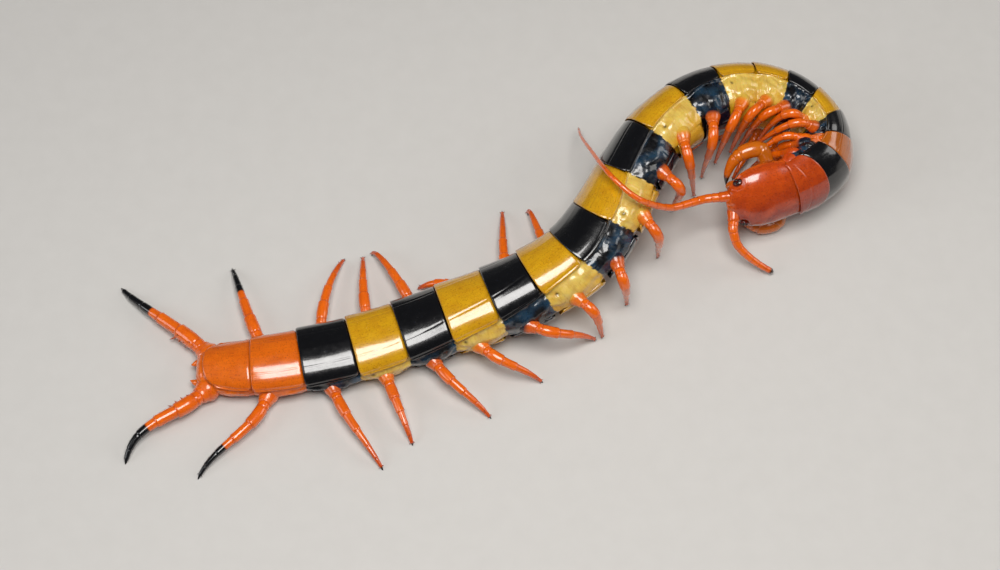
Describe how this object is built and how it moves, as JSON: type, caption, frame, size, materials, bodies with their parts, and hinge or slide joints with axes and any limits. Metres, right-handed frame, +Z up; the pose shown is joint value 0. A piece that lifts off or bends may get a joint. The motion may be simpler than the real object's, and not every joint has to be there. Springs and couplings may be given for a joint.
{
  "type": "giant centipede model",
  "caption": "Still model of a live giant centipede at rest: a long banded trunk that curls round at its front, with its legs, feelers, poison claws and eyes.",
  "frame": {"origin": "middle of the footprint's box, on the floor", "axes": "+Z up; +X the way the rear half of the trunk heads; +Y left of that"},
  "size_m": [0.1474, 0.0866, 0.023],
  "materials": {
    "shell_red": "glossy",
    "shell_black_and_orange": "glossy",
    "shell_black_and_yellow": "glossy",
    "shell_orange": "glossy",
    "limb_orange": "glossy",
    "limb_orange_dark_ended": "glossy",
    "claw_orange": "glossy",
    "eye_black": "glossy"
  },
  "bodies": {
    "root": {"head": "shell_red", "eye_left": "eye_black", "eye_right": "eye_black", "antenna_left": "limb_orange", "antenna_right": "limb_orange", "forcipule_left": "claw_orange", "forcipule_right": "claw_orange", "trunk_01": "shell_red", "trunk_02_03": "shell_black_and_orange", "trunk_04_05": "shell_black_and_yellow", "trunk_06_07": "shell_black_and_yellow", "trunk_08_09": "shell_black_and_yellow", "trunk_10_11": "shell_black_and_yellow", "trunk_12_13": "shell_black_and_yellow", "trunk_14_15": "shell_black_and_yellow", "trunk_16_17": "shell_black_and_yellow", "trunk_18_19": "shell_black_and_yellow", "trunk_20_21": "shell_orange", "leg_left_01": "limb_orange", "leg_left_02": "limb_orange", "leg_left_03": "limb_orange", "leg_left_04": "limb_orange", "leg_left_05": "limb_orange", "leg_left_06": "limb_orange", "leg_left_07": "limb_orange", "leg_left_08": "limb_orange", "leg_left_09": "limb_orange", "leg_left_10": "limb_orange", "leg_left_11": "limb_orange", "leg_left_12": "limb_orange", "leg_left_13": "limb_orange", "leg_left_14": "limb_orange", "leg_left_15": "limb_orange", "leg_left_16": "limb_orange", "leg_left_17": "limb_orange", "leg_left_18": "limb_orange", "leg_left_19": "limb_orange", "leg_left_20": "limb_orange_dark_ended", "leg_left_21": "limb_orange_dark_ended", "leg_right_01": "limb_orange", "leg_right_02": "limb_orange", "leg_right_03": "limb_orange", "leg_right_04": "limb_orange", "leg_right_05": "limb_orange", "leg_right_06": "limb_orange", "leg_right_07": "limb_orange", "leg_right_08": "limb_orange", "leg_right_09": "limb_orange", "leg_right_10": "limb_orange", "leg_right_11": "limb_orange", "leg_right_12": "limb_orange", "leg_right_13": "limb_orange", "leg_right_14": "limb_orange", "leg_right_15": "limb_orange", "leg_right_16": "limb_orange", "leg_right_17": "limb_orange", "leg_right_18": "limb_orange", "leg_right_19": "limb_orange", "leg_right_20": "limb_orange_dark_ended", "leg_right_21": "limb_orange_dark_ended"}
  },
  "joints": []
}
